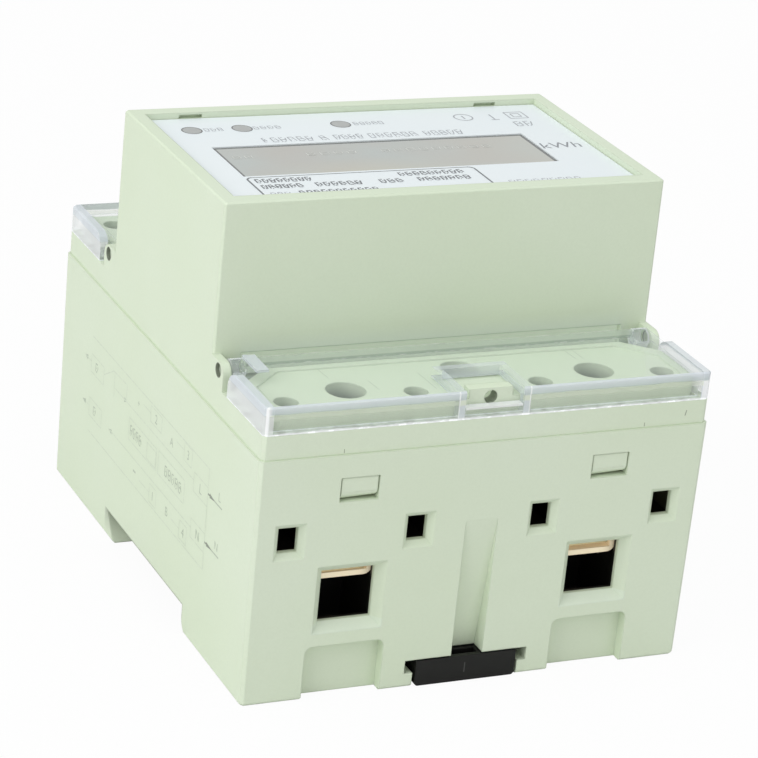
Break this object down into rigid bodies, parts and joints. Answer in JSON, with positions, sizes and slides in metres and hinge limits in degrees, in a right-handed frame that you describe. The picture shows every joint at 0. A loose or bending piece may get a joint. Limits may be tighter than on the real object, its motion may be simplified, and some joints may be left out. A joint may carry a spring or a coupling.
{
  "type": "rail-mounted energy meter",
  "caption": "Rail-mounted energy meter with a stepped housing, display, clear hinged terminal covers, cage clamp terminals and a sliding rail latch.",
  "frame": {"origin": "middle of the bottom face, at the level of the feet", "axes": "+X along the rail, -Y towards the front terminals that the picture shows, +Z away from the rail to the display"},
  "size_m": [0.076, 0.09, 0.0737],
  "materials": {
    "housing": "fine matt moulded plastic",
    "clear_cover": "clear polished plastic",
    "printed_sheet": "satin printed film",
    "clear_window": "clear polished plastic",
    "display_glass": "grey-green liquid crystal glass",
    "white_plastic": "white moulded plastic",
    "circuit_board": "green solder mask",
    "black_plastic": "black moulded plastic",
    "core_steel": "stacked steel sheet and tape",
    "capacitor_yellow": "yellow box",
    "capacitor_can": "dark sleeve on an aluminium can",
    "varistor_blue": "blue dipped coating",
    "zinc_steel": "zinc plated steel",
    "lamp_lens": "diffuse grey lens, unlit",
    "resistance_alloy": "copper-coloured resistance alloy",
    "brass": "tinned brass",
    "cage_metal": "yellow passivated steel",
    "latch_plastic": "black moulded plastic"
  },
  "bodies": {
    "meter": {"base_housing": "housing", "upper_housing": "housing", "face_sheet": "printed_sheet", "display_window": "clear_window", "lcd_glass": "display_glass", "lcd_holder": "white_plastic", "display_board": "circuit_board", "main_board": "circuit_board", "board_header": "black_plastic", "supply_transformer": "core_steel", "film_capacitor": "capacitor_yellow", "can_capacitors": "capacitor_can", "varistor": "varistor_blue", "metering_chip": "black_plastic", "bus_chip": "black_plastic", "pulse_optocoupler": "white_plastic", "housing_screws": "zinc_steel", "board_screws": "zinc_steel", "com_led": "lamp_lens", "pulse_led": "lamp_lens", "power_led": "lamp_lens", "shunt": "resistance_alloy", "line_in_busbar": "brass", "line_out_busbar": "brass", "neutral_busbar": "brass", "aux_tab_1": "brass", "aux_tab_2": "brass", "aux_tab_3": "brass", "aux_tab_4": "brass"},
    "front_cover": {"front_cover": "clear_cover"},
    "rear_cover": {"rear_cover": "clear_cover"},
    "din_latch": {"din_latch": "latch_plastic"},
    "line_in_screw": {"line_in_screw": "zinc_steel"},
    "line_in_cage": {"line_in_cage": "cage_metal"},
    "neutral_in_screw": {"neutral_in_screw": "zinc_steel"},
    "neutral_in_cage": {"neutral_in_cage": "cage_metal"},
    "line_out_screw": {"line_out_screw": "zinc_steel"},
    "line_out_cage": {"line_out_cage": "cage_metal"},
    "neutral_out_screw": {"neutral_out_screw": "zinc_steel"},
    "neutral_out_cage": {"neutral_out_cage": "cage_metal"},
    "aux_1_screw": {"aux_screw_1": "zinc_steel"},
    "aux_1_cage": {"aux_cage_1": "cage_metal"},
    "aux_2_screw": {"aux_screw_2": "zinc_steel"},
    "aux_2_cage": {"aux_cage_2": "cage_metal"},
    "aux_3_screw": {"aux_screw_3": "zinc_steel"},
    "aux_3_cage": {"aux_cage_3": "cage_metal"},
    "aux_4_screw": {"aux_screw_4": "zinc_steel"},
    "aux_4_cage": {"aux_cage_4": "cage_metal"}
  },
  "joints": [
    {"name": "front_cover_hinge", "type": "hinge", "parent": "meter", "child": "front_cover", "pos_m": [0, -0.0254, 0.0478], "axis": [-1, 0, 0], "range_deg": [0, 90]},
    {"name": "rear_cover_hinge", "type": "hinge", "parent": "meter", "child": "rear_cover", "pos_m": [0, 0.0254, 0.0478], "axis": [1, 0, 0], "range_deg": [0, 90]},
    {"name": "din_latch_slide", "type": "slide", "parent": "meter", "child": "din_latch", "axis": [0, -1, 0], "range_m": [0, 0.0035]},
    {"name": "line_in_screw_turn", "type": "hinge", "parent": "meter", "child": "line_in_screw", "pos_m": [-0.0212, -0.0363, 0.03], "axis": [0, 0, 1], "range_deg": [0, 3827]},
    {"name": "line_in_cage_lift", "type": "slide", "parent": "meter", "child": "line_in_cage", "axis": [0, 0, -1], "range_m": [0, 0.0085]},
    {"name": "neutral_in_screw_turn", "type": "hinge", "parent": "meter", "child": "neutral_in_screw", "pos_m": [0.0212, -0.0363, 0.03], "axis": [0, 0, 1], "range_deg": [-271, 3557]},
    {"name": "neutral_in_cage_lift", "type": "slide", "parent": "meter", "child": "neutral_in_cage", "axis": [0, 0, -1], "range_m": [-0.0006, 0.0079]},
    {"name": "line_out_screw_turn", "type": "hinge", "parent": "meter", "child": "line_out_screw", "pos_m": [-0.0212, 0.0363, 0.03], "axis": [0, 0, 1], "range_deg": [0, 3827]},
    {"name": "line_out_cage_lift", "type": "slide", "parent": "meter", "child": "line_out_cage", "axis": [0, 0, -1], "range_m": [0, 0.0085]},
    {"name": "neutral_out_screw_turn", "type": "hinge", "parent": "meter", "child": "neutral_out_screw", "pos_m": [0.0212, 0.0363, 0.03], "axis": [0, 0, 1], "range_deg": [0, 3827]},
    {"name": "neutral_out_cage_lift", "type": "slide", "parent": "meter", "child": "neutral_out_cage", "axis": [0, 0, -1], "range_m": [0, 0.0085]},
    {"name": "aux_1_screw_turn", "type": "hinge", "parent": "meter", "child": "aux_1_screw", "pos_m": [-0.032, -0.0388, 0.035], "axis": [0, 0, 1], "range_deg": [0, 3282]},
    {"name": "aux_1_cage_lift", "type": "slide", "parent": "meter", "child": "aux_1_cage", "axis": [0, 0, -1], "range_m": [0, 0.0041]},
    {"name": "aux_2_screw_turn", "type": "hinge", "parent": "meter", "child": "aux_2_screw", "pos_m": [-0.0106, -0.0388, 0.035], "axis": [0, 0, 1], "range_deg": [0, 3282]},
    {"name": "aux_2_cage_lift", "type": "slide", "parent": "meter", "child": "aux_2_cage", "axis": [0, 0, -1], "range_m": [0, 0.0041]},
    {"name": "aux_3_screw_turn", "type": "hinge", "parent": "meter", "child": "aux_3_screw", "pos_m": [0.0106, -0.0388, 0.035], "axis": [0, 0, 1], "range_deg": [0, 3282]},
    {"name": "aux_3_cage_lift", "type": "slide", "parent": "meter", "child": "aux_3_cage", "axis": [0, 0, -1], "range_m": [0, 0.0041]},
    {"name": "aux_4_screw_turn", "type": "hinge", "parent": "meter", "child": "aux_4_screw", "pos_m": [0.032, -0.0388, 0.035], "axis": [0, 0, 1], "range_deg": [0, 3282]},
    {"name": "aux_4_cage_lift", "type": "slide", "parent": "meter", "child": "aux_4_cage", "axis": [0, 0, -1], "range_m": [0, 0.0041]}
  ],
  "couplings": [
    {"joint": "line_in_screw_turn", "follows": "line_in_cage_lift", "rad_per_m": 7854},
    {"joint": "neutral_in_screw_turn", "follows": "neutral_in_cage_lift", "rad_per_m": 7854},
    {"joint": "line_out_screw_turn", "follows": "line_out_cage_lift", "rad_per_m": 7854},
    {"joint": "neutral_out_screw_turn", "follows": "neutral_out_cage_lift", "rad_per_m": 7854},
    {"joint": "aux_1_screw_turn", "follows": "aux_1_cage_lift", "rad_per_m": 13963},
    {"joint": "aux_2_screw_turn", "follows": "aux_2_cage_lift", "rad_per_m": 13963},
    {"joint": "aux_3_screw_turn", "follows": "aux_3_cage_lift", "rad_per_m": 13963},
    {"joint": "aux_4_screw_turn", "follows": "aux_4_cage_lift", "rad_per_m": 13963}
  ]
}
